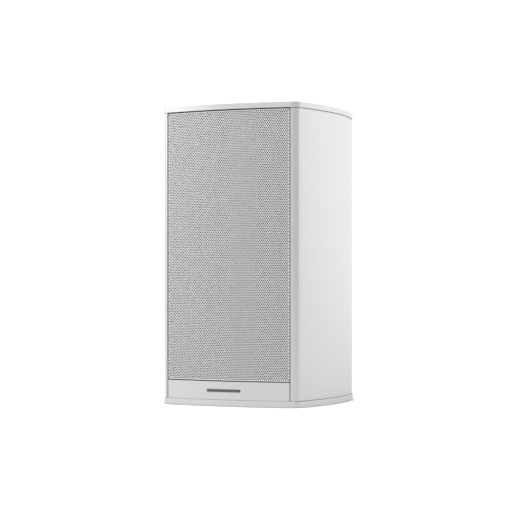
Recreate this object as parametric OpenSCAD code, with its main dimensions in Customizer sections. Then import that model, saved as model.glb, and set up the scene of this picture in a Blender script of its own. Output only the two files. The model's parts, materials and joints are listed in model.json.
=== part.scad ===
// Bookshelf loudspeaker: an extruded shell between two end plates, a bowed lift-off
// grille, a two-way driver pair on a flat baffle, and a rear port and binding posts.
// +Z is up, the front faces -Y, and the origin is the bottom centre of the whole box.

/* [Cabinet] */
// Width over the end plates
body_w = 180; // [172:1:230]
// Depth over the end plates, from the middle of the bowed front to the back
body_d = 216; // [190:1:260]
// Height from the feet to the top
body_h = 340; // [320:1:420]
// Width of the end plates across the back, before its corners are rounded
back_w = 98; // [88:1:120]
// Distance from the front to the widest point of the sides
widest_y = 36; // [30:1:50]
// How far the middle of the front stands proud of the edges of its opening
front_rise = 10; // [6:0.5:14]
// Radius of the two front corners
corner_r = 10; // [8:0.5:12]
// Radius of the two back corners
rear_r = 12; // [10:0.5:18]
// Wall of the shell
wall = 3.5; // [2.5:0.1:5]
// How far the end plates stand out past the shell
overhang = 1; // [0.5:0.1:2]
// Thickness of each end plate
plate_t = 6.4; // [6:0.1:9]
// Thickness of the seam gaskets at the top and bottom of the shell
seam_t = 0.5; // [0.3:0.1:1]
// Distance from the widest point of a side to the edge of the front opening
opening_in = 8.5; // [8:0.1:12]

/* [Grille and lower panel] */
// Height of the plain panel below the grille
panel_h = 20.5; // [16:0.5:30]
// Thickness of the plain panel's face
panel_t = 3; // [2:0.1:4]
// Gap on each side of the plain panel
panel_gap = 0.9; // [0.3:0.1:1.5]
// Gap all round the grille
grille_gap = 1.3; // [0.6:0.1:2]
// Thickness of the grille sheet
sheet_t = 0.8; // [0.6:0.1:1.5]
// Thickness of the cloth behind the sheet
cloth_t = 0.4; // [0.3:0.1:0.8]
// Depth from the front of the shell at the opening's edge to the baffle
grille_depth = 9; // [8.5:0.5:14]
// Width of the bars of the grille frame
frame_bar = 7; // [7:0.5:9]
// Radius of the grille's holding magnets
magnet_r = 3; // [2:0.5:3]
// Height of the holding magnets
magnet_h = 3; // [2:0.5:4]
// Length of the blank badge
badge_l = 44; // [20:1:60]
// Height of the blank badge
badge_h = 3; // [1.5:0.1:4]

/* [Baffle] */
// Thickness of the baffle board
baffle_t = 18; // [16:1:25]
// Radius of the shank of the baffle screws
baffle_screw_r = 2; // [1.5:0.1:2.5]

/* [Woofer] */
// Height of the woofer's axis above the base plate
woofer_up = 104.8; // [100:0.1:120]
// Radius of the basket's flange
woofer_r = 70; // [58:0.5:72]
// Travel of the cone each way from rest
woofer_travel = 5; // [3:0.5:6]
// Width of the surround's half roll
roll_w = 11; // [9:0.5:12]
// Radius of the voice coil former
coil_r = 15.2; // [12:0.1:18.5]
// Radius of the woofer's ring magnet
woofer_magnet_r = 42; // [38:1:52]

/* [Tweeter] */
// Distance of the tweeter's axis below the top of the speaker
tweeter_down = 97; // [80:1:110]
// Radius of the faceplate
tweeter_r = 45; // [42:0.5:48]
// Radius of the dome
dome_r = 12.6; // [11:0.1:13]

/* [Port] */
// Height of the port's axis above the base plate
port_up = 236; // [215:1:245]
// Inner radius of the port tube
port_r = 20; // [16:0.5:24]
// Wall of the port tube
port_wall = 2.5; // [2:0.1:3]
// Length of the port tube
port_l = 104; // [80:1:120]

/* [Terminals] */
// Height of the binding posts above the base plate
post_up = 80; // [70:1:110]
// Distance between the two binding posts
post_pitch = 19; // [19:0.5:30]
// Radius of the banana plug sockets
socket_r = 2; // [1.9:0.1:2]
// Radius of the threaded studs
stud_r = 3; // [3:0.1:3.4]
// Length of the studs outside the terminal plate
stud_out = 19; // [18:0.5:24]

/* [Base] */
// Radius of the foot pads
foot_r = 8; // [6:0.5:9]
// How far the foot pads stand proud of the base plate
foot_proud = 0.8; // [0.5:0.1:2]
// Core radius of the threaded holes for a stand
stand_hole_r = 2.5; // [2:0.1:3]
// Spacing of the stand holes across the speaker
stand_x = 90; // [80:1:100]
// Spacing of the stand holes along the depth
stand_y = 100; // [80:1:110]
// Radius of the tie rods
rod_r = 2.5; // [2:0.1:3]

/* [Hidden] */

$fn = 96;
arc_fn = 256;      // facets of the large plan arcs
fit = 0.3;         // clearance between pieces that are set side by side
close_fit = 0.05;  // clearance round screws, studs and magnets
blend = 0.01;      // lets a corner's arc cross the long arcs it runs into

// Plan of the cabinet, measured back from the middle of the front.
opening_w = body_w - 2 * opening_in;
front_r = (pow(opening_w / 2, 2) + pow(front_rise, 2)) / (2 * front_rise);
side_in = (body_w - back_w) / 2;
side_r = (pow(body_d - widest_y, 2) + pow(side_in, 2)) / (2 * side_in);
front_c = [0, front_r];
side_c = [body_w / 2 - side_r, widest_y];
front_corner = meet(front_c, front_r - corner_r, side_c, side_r - corner_r);
rear_corner = [
    side_c.x + sqrt(pow(side_r - rear_r, 2) - pow(body_d - rear_r - widest_y, 2)),
    body_d - rear_r
];
inner = overhang + wall;  // inset of the shell's inner face

// Heights.
base_top = foot_proud + plate_t;
cap_bottom = body_h - plate_t;
shell_bottom = base_top + seam_t;
shell_top = cap_bottom - seam_t;
grille_bottom = base_top + fit + panel_h + grille_gap;
grille_top = cap_bottom - grille_gap;
woofer_z = base_top + woofer_up;
tweeter_z = body_h - tweeter_down;
port_z = base_top + port_up;
post_z = base_top + post_up;

// Depths.
baffle_y = bow_y(opening_w / 2, overhang) + grille_depth;
baffle_back = baffle_y + baffle_t;
shell_back = body_d - overhang;
terminal_gasket_t = 0.5;
terminal_t = 3.5;
terminal_face = shell_back + terminal_gasket_t + terminal_t;
cap_l = 16;      // length of a post's cap
cap_end_t = 2;   // its end, in front of the stud
total_d = terminal_face + stud_out + cap_end_t + fit;
front_y = -total_d / 2;

// Grille.
grille_inset = overhang + 0.6;
cloth_inset = grille_inset + sheet_t + close_fit;
grille_half = opening_w / 2 - grille_gap;
frame_half = grille_half - 0.2;
magnet_x = frame_half - frame_bar / 2;
frame_back = baffle_y - fit;
magnet_zs = [grille_bottom + 12, (grille_bottom + grille_top) / 2, grille_top - 12];

// Baffle and its rails.
baffle_half = half_w(baffle_y, inner) - fit;
rail_t = 5;
rail_w = 12;
rail_half = (rail_w + wall / 2) / 2;
baffle_screw_x = half_w(baffle_back, inner) - rail_w / 2;
baffle_screw_zs = [for (i = [0:3]) base_top + 22 + i * (cap_bottom - base_top - 44) / 3];
panel_leg_x = opening_w / 2 - 7;
panel_leg_w = 7;
panel_inset = overhang + 0.2;
panel_leg_y = bow_y(panel_leg_x, panel_inset + panel_t / 2);

// Tie rods, in channels of the shell.
channel_r = rod_r + 4.5;
rod_bore = rod_r + 0.4;
rod_front_y = baffle_back + fit + rail_t + channel_r - 1;
rod_rear_y = shell_back - wall - channel_r + 0.5;
rods = [
    [half_w(rod_front_y, inner) - channel_r + 1, rod_front_y],
    [half_w(rod_rear_y, inner) - channel_r + 0.2, rod_rear_y]
];
nut_h = 3.5;
nut_pocket = plate_t - 2;
feet = [[body_w / 2 - 30, rod_front_y + 4], [back_w / 2 - 8, rod_rear_y - channel_r - foot_r - 4]];
foot_pocket = 1.4;
stand_mid = body_d / 2 + 4;    // middle of the stand holes
stand_hole_l = plate_t - 1.4;

// Woofer, along its own axis: 0 is the front of the baffle and + points forward.
flange_t = 4;
woofer_gasket_t = 1;
woofer_rebate = flange_t + woofer_gasket_t;
woofer_cut_r = woofer_r - 9;
seat_z = -1;                        // where the surround sits on the flange
surround_t = 0.8;
roll_r = roll_w / 2;
roll_mid = woofer_r - 11.5 - roll_r;  // radius of the middle of the roll
cone_r = roll_mid - roll_r + 0.8;
cone_t = 0.8;
cone_depth = 23.6;
cone_lip = 3.4;                     // flat edge of the cone, behind the roll
cone_edge = 0.6;                    // height of the cone's inner edge
neck_z = seat_z - cone_depth;       // back of the cone
neck_to_spider = 5.4;
spider_z = neck_z - neck_to_spider;
spider_to_plate = 14;
plate_front = spider_z - spider_to_plate;  // front of the motor's top plate
woofer_plate_t = 6;
woofer_magnet_t = 16;
woofer_yoke_t = 7;
former_t = 0.3;
winding_t = 0.8;
gap_play = 0.6;
ledge = woofer_r - 31;               // inner edge of the spider's shelf
dust_r = coil_r + 2.8;
dust_h = 5.5;
dust_t = 0.5;
dust_gap = 0.2;                     // glue line between the dust cap and the cone
winding_h = 12;
cone_neck = [coil_r + close_fit, neck_z + cone_edge];     // ends of the cone's front face
cone_rim = [cone_r - cone_lip - cone_edge, seat_z];
woofer_screw_n = 6;
woofer_screw_at = woofer_r - 4.2;
woofer_screw_r = 2;

// Tweeter, along its own axis.
face_t = 3.7;
tweeter_gasket_t = 0.8;
tweeter_rebate = face_t + tweeter_gasket_t;
tweeter_cut_r = tweeter_r - 11;
horn_r = dome_r + 4.4;              // throat of the faceplate
motor_z = -face_t - 1;              // front of the tweeter's motor
dome_h = 4.5;
tweeter_plate_t = 4;
tweeter_magnet_t = 7;
tweeter_yoke_t = 4;
tweeter_motor_r = tweeter_cut_r - 3;
chamber_r = 22;
chamber_l = 25;
tweeter_screw_at = tweeter_r - 5.5;
tweeter_screw_r = 1.75;

// Port.
port_flange_r = port_r + 13;
port_flange_t = 3;
flare_r = 8;
port_hole_r = port_r + port_wall + fit;

// Terminals.
terminal_w = 60;
terminal_h = 70;
collar_r = 7.2;
collar_h = 2.5;
cap_r = 7.2;
bush_r = 4.6;
bush_bore = stud_r + close_fit;
bush_end = stud_out - 2;
stud_in = 18;         // length of the studs inside the terminal plate's face
terminal_holes = [for (x = [-1, 1], z = [-1, 1]) [x * (terminal_w / 2 - 6), z * (terminal_h / 2 - 6)]];
terminal_cut = [terminal_w - 24, terminal_h - 30];

// Crossover.
board = [76, 84, 1.6];
board_y = 98;
board_z = base_top + 8;
board_top = board_z + board.z;
board_screws = [for (x = [-33, 33], y = [7, 77]) [x, board_y + y]];
crossover_coil_r = 15;
crossover_coil_bore = 7;
crossover_coil_h = 14;
capacitor_r = 7;
capacitor_l = 26;
resistor = [22, 8, 8];
coil_spots = [[-20, board_y + 22], [18, board_y + 56]];
capacitor_spots = [[14, board_y + 13], [14, board_y + 30], [-17, board_y + 60]];
resistor_spots = [[-16, board_y + 45], [-17, board_y + 73]];

// Brace.
brace_t = 8;
brace_z = (woofer_z + woofer_cut_r + tweeter_z - tweeter_cut_r) / 2 - brace_t / 2;
brace_front = rod_front_y + channel_r + 1;
brace_bar = 16;
brace_window = 36;
brace_wide = half_w(brace_front + brace_bar + brace_window, inner) - brace_bar;
brace_narrow = half_w(body_d - inner - brace_bar, inner) - brace_bar;
foam_t = 10;
foam_spans = [[base_top + 45, brace_z - 1], [brace_z + brace_t + 1, cap_bottom - 2]];

// Routes of the inner leads, one of each pair, in mm back from the front and up from the floor.
lead_r = 1.3;
lead_sides = 8;
lead_steps = 5;
woofer_route = [
    [5, 101, 18.7], [5, 92, 20], [6, 76, 32], [5, 64, 44], [4, 57.2, 52]
];
tweeter_route = [
    [-22, 103, 18.7], [-22, 97.5, 18.9], [-22, 95.5, 25], [-23, 97, 40], [-24, 98, 80],
    [-24, 98, 150], [-24, 94, 185], [-20, 78, 200], [-11, 60, 208], [-2, 50, 212], [0, 45.6, 213.5]
];
input_route = [
    [-9.5, 200.6, 87.2], [-9.5, 194, 86], [-11, 187, 64], [-10, 189, 36], [-8, 185, 21],
    [-8, 179, 18.7]
];

// Where two circles meet, on the left of the line from the first to the second.
function meet(a, ra, b, rb) =
    let (
        gap = norm(b - a),
        along = (ra * ra - rb * rb + gap * gap) / (2 * gap),
        off = sqrt(ra * ra - along * along),
        e = (b - a) / gap
    )
    a + along * e + off * [-e.y, e.x];
// The point at distance r from c, towards p.
function reach(c, p, r) = c + (p - c) / norm(p - c) * r;
// Depth of the bowed front at x, for a given inset.
function bow_y(x, inset) = front_r - sqrt(pow(front_r - inset, 2) - x * x);
// Height of the cone's front face at radius r, along the woofer's axis.
function cone_face(r) =
    cone_neck.y + (r - cone_neck.x) * (cone_rim.y - cone_neck.y) / (cone_rim.x - cone_neck.x);
// Half the width at depth y, for a given inset.
function half_w(y, inset) = side_c.x + sqrt(pow(side_r - inset, 2) - pow(y - widest_y, 2));

// A smooth line through hand-picked points.
function curve(p, steps) = [
    for (i = [0:len(p) - 2], k = [0:steps - 1])
        let (
            t = k / steps,
            a = p[max(i - 1, 0)], b = p[i], c = p[i + 1], d = p[min(i + 2, len(p) - 1)]
        )
        0.5 * (2 * b + (c - a) * t + (2 * a - 5 * b + 4 * c - d) * t * t
            + (3 * b - a - 3 * c + d) * t * t * t),
    p[len(p) - 1]
];

// A round tube along a smooth line.
module lead(route) {
    line = curve(route, lead_steps);
    n = len(line);
    rings = [
        for (i = [0:n - 1])
            let (
                way = line[min(i + 1, n - 1)] - line[max(i - 1, 0)],
                t = way / norm(way),
                side = cross(t, [1, 0, 0]),
                u = side / norm(side),
                v = cross(t, u)
            )
            for (k = [0:lead_sides - 1])
                line[i] + lead_r * (cos(360 * k / lead_sides) * u + sin(360 * k / lead_sides) * v)
    ];
    polyhedron(
        points = rings,
        faces = concat(
            [[for (k = [0:lead_sides - 1]) k]],
            [[for (k = [lead_sides - 1:-1:0]) (n - 1) * lead_sides + k]],
            [
                for (i = [0:n - 2], k = [0:lead_sides - 1])
                    let (next = (k + 1) % lead_sides, a = i * lead_sides, b = a + lead_sides)
                    each [[a + k, b + k, b + next], [a + k, b + next, a + next]]
            ]
        )
    );
}

// A lead and its mirror image.
module lead_pair(route) {
    lead(route);
    lead([for (p = route) [-p.x, p.y, p.z]]);
}

module both_sides() {
    children();
    mirror([1, 0, 0]) children();
}

// The plan outline of the cabinet, taken in by inset. Every arc keeps its centre.
module plan(inset) {
    front_tip = reach(front_c, front_corner, front_r - inset);
    front_end = reach(side_c, front_corner, side_r - inset);
    rear_tip = reach(side_c, rear_corner, side_r - inset);
    rear_end = [rear_corner.x, body_d - inset];
    difference() {
        intersection() {
            translate(front_c) circle(front_r - inset, $fn = arc_fn);
            translate(side_c) circle(side_r - inset, $fn = arc_fn);
            translate([-side_c.x, side_c.y]) circle(side_r - inset, $fn = arc_fn);
            translate([-body_w / 2, 0]) square([body_w, body_d - inset]);
        }
        for (s = [-1, 1]) {
            flank(s, [front_tip, front_corner + 2 * corner_r * [1, -1], front_end]);
            flank(s, [rear_tip, rear_corner + 2 * rear_r * [1, 1], rear_end]);
        }
    }
    for (s = [-1, 1]) {
        translate([s * front_corner.x, front_corner.y]) circle(corner_r + blend - inset);
        translate([s * rear_corner.x, rear_corner.y]) circle(rear_r + blend - inset);
    }
}

// A flat shape through the points, drawn on the left for s = -1.
module flank(s, points) {
    n = len(points);
    polygon([for (i = [0:n - 1]) let (p = points[s > 0 ? i : n - 1 - i]) [s * p.x, p.y]]);
}

// A bowed strip that follows the front, between two insets and within half_x of the middle.
module bow(outer_inset, inner_inset, half_x) {
    intersection() {
        difference() {
            translate(front_c) circle(front_r - outer_inset, $fn = arc_fn);
            translate(front_c) circle(front_r - inner_inset, $fn = arc_fn);
        }
        translate([-half_x, 0]) square([2 * half_x, baffle_y]);
    }
}

// Moves a piece drawn back from the middle of the front into the speaker's frame.
module place() {
    translate([0, front_y, 0]) children();
}

// Puts a piece drawn along a driver's axis on the baffle at height z.
module on_baffle(z) {
    translate([0, baffle_y, z]) rotate([90, 0, 0]) children();
}

// Puts a piece drawn outwards from the back wall at x, z, with its depth measured from y.
module on_back(x, y, z) {
    translate([x, y, z]) rotate([-90, 0, 0]) children();
}

module ring(outer, bore, low, high) {
    translate([0, 0, low]) difference() {
        cylinder(r = outer, h = high - low);
        translate([0, 0, -1]) cylinder(r = bore, h = high - low + 2);
    }
}

module around(n, r, start = 0) {
    for (i = [0:n - 1]) rotate(start + i * 360 / n) translate([r, 0, 0]) children();
}

// A thin spherical cap that stands on z = base.
module dome(r, h, t, base) {
    ball = (r * r + h * h) / (2 * h);
    intersection() {
        translate([0, 0, base + h - ball]) difference() {
            sphere(ball, $fn = 180);
            sphere(ball - t, $fn = 180);
        }
        translate([0, 0, base]) cylinder(r = r + 1, h = h + 1);
    }
}

// A half roll of rubber or cloth with a flat lip on each side.
module half_roll(mid, r, t, base, lip_in, lip_out) {
    rotate_extrude() {
        intersection() {
            translate([mid, base]) difference() {
                circle(r);
                circle(r - t);
            }
            translate([mid - r - 1, base]) square([2 * r + 2, r + 1]);
        }
        translate([mid - r - lip_in, base]) square([lip_in + t / 2, t]);
        translate([mid + r - t / 2, base]) square([lip_out + t / 2, t]);
    }
}

module at_rods() {
    for (s = [-1, 1], p = rods) translate([s * p.x, p.y]) children();
}

module at_feet() {
    for (s = [-1, 1], p = feet) translate([s * p.x, p.y]) children();
}

module at_stand_holes() {
    for (s = [-1, 1], k = [-1, 1]) translate([s * stand_x / 2, stand_mid + k * stand_y / 2]) children();
}

// ---------------------------------------------------------------- cabinet

module cabinet_shell() {
    color("gainsboro") place() difference() {
        translate([0, 0, shell_bottom]) linear_extrude(shell_top - shell_bottom) difference() {
            union() {
                difference() {
                    plan(overhang);
                    plan(inner);
                    translate([-opening_w / 2, -1]) square([opening_w, baffle_y]);
                }
                for (s = [-1, 1]) translate([s * (baffle_screw_x + wall / 4) - rail_half, baffle_back + fit])
                    square([2 * rail_half, rail_t]);
                at_rods() circle(channel_r);
            }
            at_rods() circle(rod_bore);
        }
        both_sides() for (z = baffle_screw_zs)
            translate([baffle_screw_x, baffle_back - 1, z]) rotate([-90, 0, 0])
                cylinder(r = baffle_screw_r + close_fit, h = rail_t + 3);
        on_back(0, shell_back - wall - 1, port_z) cylinder(r = port_hole_r, h = wall + 3);
        translate([-terminal_cut.x / 2, shell_back - wall - 1, post_z - terminal_cut.y / 2])
            cube([terminal_cut.x, wall + 3, terminal_cut.y]);
        for (p = terminal_holes) on_back(p.x, shell_back - wall - 1, post_z + p.y)
            cylinder(r = 1.5 + close_fit, h = wall + 3);
    }
}

module top_cap() {
    color("gainsboro") place() difference() {
        translate([0, 0, cap_bottom]) linear_extrude(plate_t) plan(0);
        translate([0, 0, cap_bottom - 1]) at_rods() cylinder(r = rod_r + close_fit, h = plate_t - 1);
    }
}

module base_plate() {
    color("gainsboro") place() difference() {
        translate([0, 0, foot_proud]) linear_extrude(plate_t) plan(0);
        translate([0, 0, foot_proud - 1]) {
            at_rods() {
                cylinder(r = rod_r + 0.25, h = plate_t + 2);
                cylinder(r = rod_r * 2, h = nut_pocket + 1);
            }
            at_feet() cylinder(r = foot_r + fit / 2, h = foot_pocket + 1);
            at_stand_holes() cylinder(r = stand_hole_r, h = stand_hole_l + 1);
        }
        for (p = board_screws) translate([p.x, p.y, base_top - 4]) cylinder(r = 1.5 + close_fit, h = 5);
    }
}

module seam_gaskets() {
    color("dimgray") place() for (z = [base_top, shell_top])
        translate([0, 0, z]) linear_extrude(seam_t) difference() {
            plan(overhang + 0.6);
            plan(inner);
            translate([-opening_w / 2, -1]) square([opening_w, baffle_y]);
        }
}

module tie_rods() {
    color("silver") place() translate([0, 0, foot_proud + 0.4])
        at_rods() cylinder(r = rod_r, h = body_h - 2.2 - foot_proud - 0.4);
}

module tie_nuts() {
    color("silver") place() translate([0, 0, foot_proud + nut_pocket - nut_h]) at_rods() difference() {
        cylinder(r = rod_r * 1.84, h = nut_h, $fn = 6);
        translate([0, 0, -1]) cylinder(r = rod_r + close_fit, h = nut_h + 2);
    }
}

module foot_pads() {
    color("dimgray") place() at_feet() cylinder(r = foot_r, h = foot_proud + foot_pocket);
}

module window_brace() {
    outer = inner + fit;
    color("burlywood") place() translate([0, 0, brace_z]) linear_extrude(brace_t) difference() {
        intersection() {
            plan(outer);
            translate([-body_w / 2, brace_front]) square([body_w, body_d]);
        }
        at_rods() circle(channel_r + fit);
        translate([-brace_wide, brace_front + brace_bar]) square([2 * brace_wide, brace_window]);
        translate([-brace_narrow, brace_front + brace_bar + brace_window / 2])
            square([2 * brace_narrow, body_d - inner - 2 * brace_bar - brace_front - brace_window / 2]);
    }
}

module foam_lining() {
    low_y = rod_front_y + channel_r + 2;
    high_y = rod_rear_y - channel_r - 2;
    color("slategray") place() both_sides() for (span = foam_spans)
        translate([0, 0, span[0]]) linear_extrude(span[1] - span[0]) intersection() {
            difference() {
                translate(side_c) circle(side_r - inner - fit, $fn = arc_fn);
                translate(side_c) circle(side_r - inner - fit - foam_t, $fn = arc_fn);
            }
            translate([0, low_y]) square([body_w, high_y - low_y]);
        }
}

// ---------------------------------------------------------------- front

module front_baffle() {
    hole_l = baffle_t + 2;
    color("#26262a") place() difference() {
        translate([-baffle_half, baffle_y, base_top + fit])
            cube([2 * baffle_half, baffle_t, cap_bottom - base_top - 2 * fit]);
        on_baffle(woofer_z) {
            translate([0, 0, -hole_l]) cylinder(r = woofer_cut_r, h = hole_l + 1);
            translate([0, 0, -woofer_rebate]) cylinder(r = woofer_r + fit, h = woofer_rebate + 1);
            around(woofer_screw_n, woofer_screw_at)
                translate([0, 0, -16 - woofer_rebate]) cylinder(r = woofer_screw_r + close_fit, h = 20);
        }
        on_baffle(tweeter_z) {
            translate([0, 0, -hole_l]) cylinder(r = tweeter_cut_r, h = hole_l + 1);
            translate([0, 0, -tweeter_rebate]) cylinder(r = tweeter_r + fit, h = tweeter_rebate + 1);
            around(4, tweeter_screw_at, 45)
                translate([0, 0, -13 - tweeter_rebate]) cylinder(r = tweeter_screw_r + close_fit, h = 15);
        }
        both_sides() for (z = baffle_screw_zs) translate([baffle_screw_x, 0, z]) {
            on_back(0, baffle_y - 1, 0) cylinder(r = baffle_screw_r + 0.2, h = hole_l);
            on_back(0, baffle_y - 1, 0) cylinder(r = baffle_screw_r * 1.8 + 0.1, h = 4);
        }
        both_sides() for (z = magnet_zs)
            on_back(magnet_x, baffle_y - 1, z) cylinder(r = magnet_r + close_fit, h = magnet_h + 1);
        both_sides() on_back(panel_leg_x, baffle_y - 1, base_top + fit + panel_h / 2) {
            cylinder(r = 1.5 + close_fit, h = hole_l);
            translate([0, 0, hole_l - 4]) cylinder(r = 3.2, h = 5);
        }
    }
}

module baffle_screws() {
    color("dimgray") place() both_sides() for (z = baffle_screw_zs)
        on_back(baffle_screw_x, baffle_y + 0.4, z) {
            cylinder(r = baffle_screw_r * 1.8, h = 2.6);
            cylinder(r = baffle_screw_r, h = baffle_t + rail_t);
        }
}

module baffle_magnets() {
    color("silver") place() both_sides() for (z = magnet_zs)
        on_back(magnet_x, baffle_y, z) cylinder(r = magnet_r, h = magnet_h);
}

module lower_panel() {
    low = base_top + fit;
    color("gainsboro") place() difference() {
        translate([0, 0, low]) linear_extrude(panel_h) {
            bow(panel_inset, panel_inset + panel_t, opening_w / 2 - panel_gap);
            for (s = [-1, 1]) translate([s * panel_leg_x - panel_leg_w / 2, panel_leg_y])
                square([panel_leg_w, baffle_y - panel_leg_y]);
        }
        translate([0, 0, low + panel_h / 2 - badge_h / 2 - close_fit])
            linear_extrude(badge_h + 2 * close_fit) bow(0, overhang + 1, badge_l / 2 + close_fit);
        both_sides() on_back(panel_leg_x, baffle_y - 6, low + panel_h / 2)
            cylinder(r = 1.5 + close_fit, h = 7);
    }
}

module panel_screws() {
    color("silver") place() both_sides()
        translate([panel_leg_x, baffle_back - 0.4, base_top + fit + panel_h / 2]) rotate([90, 0, 0]) {
            cylinder(r = 2.8, h = 2.4);
            cylinder(r = 1.5, h = baffle_t + 4);
        }
}

module badge() {
    color("gray") place() translate([0, 0, base_top + fit + panel_h / 2 - badge_h / 2])
        linear_extrude(badge_h) bow(overhang, overhang + 1, badge_l / 2);
}

module grille_sheet() {
    color("lightgray") place() translate([0, 0, grille_bottom]) linear_extrude(grille_top - grille_bottom)
        bow(grille_inset, grille_inset + sheet_t, grille_half);
}

module grille_cloth() {
    color("#1c1c1e") place() translate([0, 0, grille_bottom + 0.5])
        linear_extrude(grille_top - grille_bottom - 1) bow(cloth_inset, cloth_inset + cloth_t, grille_half - 0.5);
}

module grille_frame() {
    low = grille_bottom + 0.2;
    high = grille_top - 0.2;
    color("#3a3a3e") place() difference() {
        translate([0, 0, low]) linear_extrude(high - low) intersection() {
            translate(front_c) circle(front_r - cloth_inset - cloth_t - close_fit, $fn = arc_fn);
            translate([-frame_half, 0]) square([2 * frame_half, frame_back]);
        }
        translate([-frame_half + frame_bar, -1, low + frame_bar])
            cube([2 * (frame_half - frame_bar), baffle_y + 2, high - low - 2 * frame_bar]);
        both_sides() for (z = magnet_zs)
            on_back(magnet_x, frame_back - magnet_h, z) cylinder(r = magnet_r + close_fit, h = magnet_h + 1);
    }
}

module grille_magnets() {
    color("silver") place() both_sides() for (z = magnet_zs)
        on_back(magnet_x, frame_back - magnet_h, z) cylinder(r = magnet_r, h = magnet_h);
}

// ---------------------------------------------------------------- woofer

module woofer(z = woofer_z) {
    place() on_baffle(z) children();
}

module woofer_basket() {
    wall_in = roll_mid + roll_r - 1.5;
    foot_in = wall_in - 10;
    color("#3c3c40") woofer() difference() {
        rotate_extrude() polygon([
            [woofer_r, -flange_t], [woofer_r, 0], [woofer_r - 7.5, 0], [woofer_r - 7.5, seat_z],
            [wall_in, seat_z], [wall_in, seat_z - 4], [foot_in, spider_z], [ledge, spider_z],
            [ledge, plate_front + 3], [22, plate_front + 3], [22, plate_front], [ledge + 3, plate_front],
            [ledge + 3, spider_z - 3], [foot_in + 3, spider_z - 3], [wall_in + 2.5, seat_z - 5],
            [wall_in + 2.5, -flange_t]
        ]);
        around(6, wall_in - 4, 30) translate([0, 0, spider_z / 2 - 3.5]) cube([26, 26, 16], center = true);
        around(woofer_screw_n, woofer_screw_at)
            translate([0, 0, -flange_t - 1]) cylinder(r = woofer_screw_r + 0.1, h = flange_t + 2);
    }
}

module woofer_gasket() {
    color("dimgray") woofer() difference() {
        ring(woofer_r, woofer_cut_r, -woofer_rebate, -flange_t);
        around(woofer_screw_n, woofer_screw_at)
            translate([0, 0, -woofer_rebate - 1]) cylinder(r = woofer_screw_r + 0.1, h = woofer_gasket_t + 2);
    }
}

module woofer_screws() {
    color("dimgray") woofer() around(woofer_screw_n, woofer_screw_at) difference() {
        union() {
            cylinder(r = woofer_screw_r * 1.75, h = 2.4);
            translate([0, 0, -20]) cylinder(r = woofer_screw_r, h = 21);
        }
        translate([0, 0, 1]) cylinder(r = 1.5, h = 2, $fn = 6);
    }
}

module woofer_surround() {
    color("#202022") woofer() half_roll(roll_mid, roll_r, surround_t, seat_z, 3.5, 3.2);
}

module woofer_cone() {
    color("#55555a") woofer() rotate_extrude() polygon([
        [cone_r, seat_z], [cone_r, seat_z - cone_t], [cone_r - cone_lip, seat_z - cone_t],
        [coil_r + close_fit + cone_t, neck_z], [coil_r + close_fit, neck_z], cone_neck, cone_rim
    ]);
}

module woofer_dust_cap() {
    color("#4a4a50") woofer() dome(dust_r, dust_h, dust_t, cone_face(dust_r) + dust_gap);
}

module woofer_voice_coil() {
    tail = plate_front - woofer_plate_t / 2 - winding_h / 2;
    color("peru") woofer() {
        ring(coil_r, coil_r - former_t, tail, neck_z + 1);
        ring(coil_r + winding_t, coil_r - former_t / 2, tail, tail + winding_h);
    }
}

module woofer_spider() {
    t = 0.5;
    waves = 5;
    first = coil_r + 3;
    last = ledge;
    steps = 6 * waves;
    crest = [
        for (i = [0:steps])
            [first + (last - first) * i / steps, spider_z + 1.5 - 1.5 * cos(360 * waves * i / steps)]
    ];
    color("goldenrod") woofer() rotate_extrude() polygon(concat(
        [[coil_r + close_fit, spider_z]], crest, [[ledge + 6, spider_z], [ledge + 6, spider_z + t]],
        [for (i = [steps:-1:0]) crest[i] + [0, t]], [[coil_r + close_fit, spider_z + t]]
    ));
}

module woofer_top_plate() {
    color("silver") woofer()
        ring(woofer_magnet_r - 6, coil_r + winding_t + gap_play, plate_front - woofer_plate_t, plate_front);
}

module woofer_magnet() {
    back = plate_front - woofer_plate_t;
    color("#303034") woofer() ring(woofer_magnet_r, coil_r + 6, back - woofer_magnet_t, back);
}

module woofer_yoke() {
    back = plate_front - woofer_plate_t - woofer_magnet_t;
    color("silver") woofer() difference() {
        union() {
            translate([0, 0, back - woofer_yoke_t]) cylinder(r = woofer_magnet_r - 3, h = woofer_yoke_t);
            translate([0, 0, back - 1]) cylinder(r = coil_r - former_t - gap_play, h = plate_front - back + 2);
        }
        translate([0, 0, back - woofer_yoke_t - 1]) cylinder(r = 4, h = woofer_yoke_t + plate_front - back + 4);
    }
}

module woofer_terminal_strip() {
    color("tan") woofer() {
        translate([-8, -ledge - 14, spider_z - 6]) cube([16, 10, 3]);
        both_sides() translate([3, -ledge - 21, spider_z - 5]) cube([2, 8, 1]);
    }
}

// ---------------------------------------------------------------- tweeter

module tweeter() {
    place() on_baffle(tweeter_z) children();
}

module tweeter_faceplate() {
    color("#2c2c30") tweeter() difference() {
        union() {
            translate([0, 0, -face_t]) cylinder(r = tweeter_r, h = face_t);
            translate([0, 0, motor_z]) cylinder(r = tweeter_motor_r, h = -motor_z - 1);
        }
        translate([0, 0, motor_z - 1]) cylinder(r = horn_r, h = -motor_z + 2);
        translate([0, 0, motor_z - 1]) cylinder(r = horn_r + 2.2, h = 2);
        translate([0, 0, -face_t + 0.7]) cylinder(r1 = horn_r, r2 = horn_r + 10, h = face_t - 0.6);
        around(4, tweeter_screw_at, 45) {
            translate([0, 0, -face_t - 1]) cylinder(r = tweeter_screw_r + 0.1, h = face_t + 2);
            translate([0, 0, -2]) cylinder(r1 = tweeter_screw_r + 0.1, r2 = tweeter_screw_r * 2 + 0.15, h = 2.01);
        }
    }
}

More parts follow.
